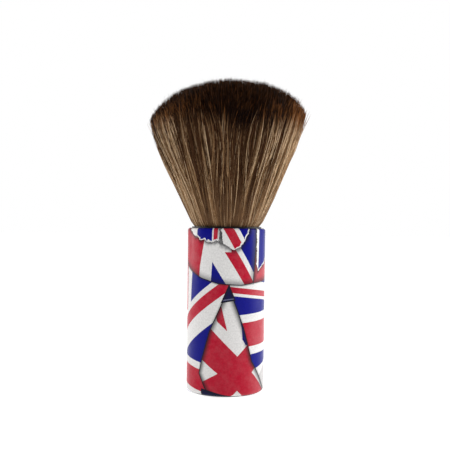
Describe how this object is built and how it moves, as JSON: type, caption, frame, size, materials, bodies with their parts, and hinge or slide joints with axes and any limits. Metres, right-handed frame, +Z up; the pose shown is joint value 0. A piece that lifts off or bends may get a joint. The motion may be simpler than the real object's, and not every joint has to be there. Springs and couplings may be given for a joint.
{
  "type": "neck duster brush",
  "caption": "Upright neck duster: cylindrical film-covered handle with a cupped knot of soft fibres that flare to a broad dome.",
  "frame": {"origin": "centre of the base cap's flat foot, which the brush stands on", "axes": "+Z up the handle towards the fibres' tips; -Y is the side that faces the front"},
  "size_m": [0.0832, 0.0832, 0.1635],
  "materials": {
    "tube_plastic": "satin",
    "print_film": "gloss",
    "cap_plastic": "satin",
    "cup_plastic": "satin",
    "adhesive": "gloss",
    "resin": "gloss",
    "thread": "matte",
    "bristle": "satin"
  },
  "bodies": {
    "handle": {"handle_tube": "tube_plastic", "print_film": "print_film", "base_cap": "cap_plastic", "knot_cup": "cup_plastic", "cup_adhesive": "adhesive", "potting_resin": "resin", "knot_binding": "thread", "bristle_roots": "bristle"},
    "fan_lower": {"bristles_lower": "bristle"},
    "fan_upper": {"bristles_upper": "bristle"}
  },
  "joints": [
    {"name": "sweep_side", "type": "hinge", "parent": "handle", "child": "fan_lower", "pos_m": [0, 0, 0.0855], "axis": [0, 1, 0], "range_deg": [-25, 25], "stiffness_Nm_per_rad": 0.17},
    {"name": "sweep_front", "type": "hinge", "parent": "fan_lower", "child": "fan_upper", "pos_m": [0, 0, 0.1135], "axis": [1, 0, 0], "range_deg": [-30, 30], "stiffness_Nm_per_rad": 0.1}
  ]
}
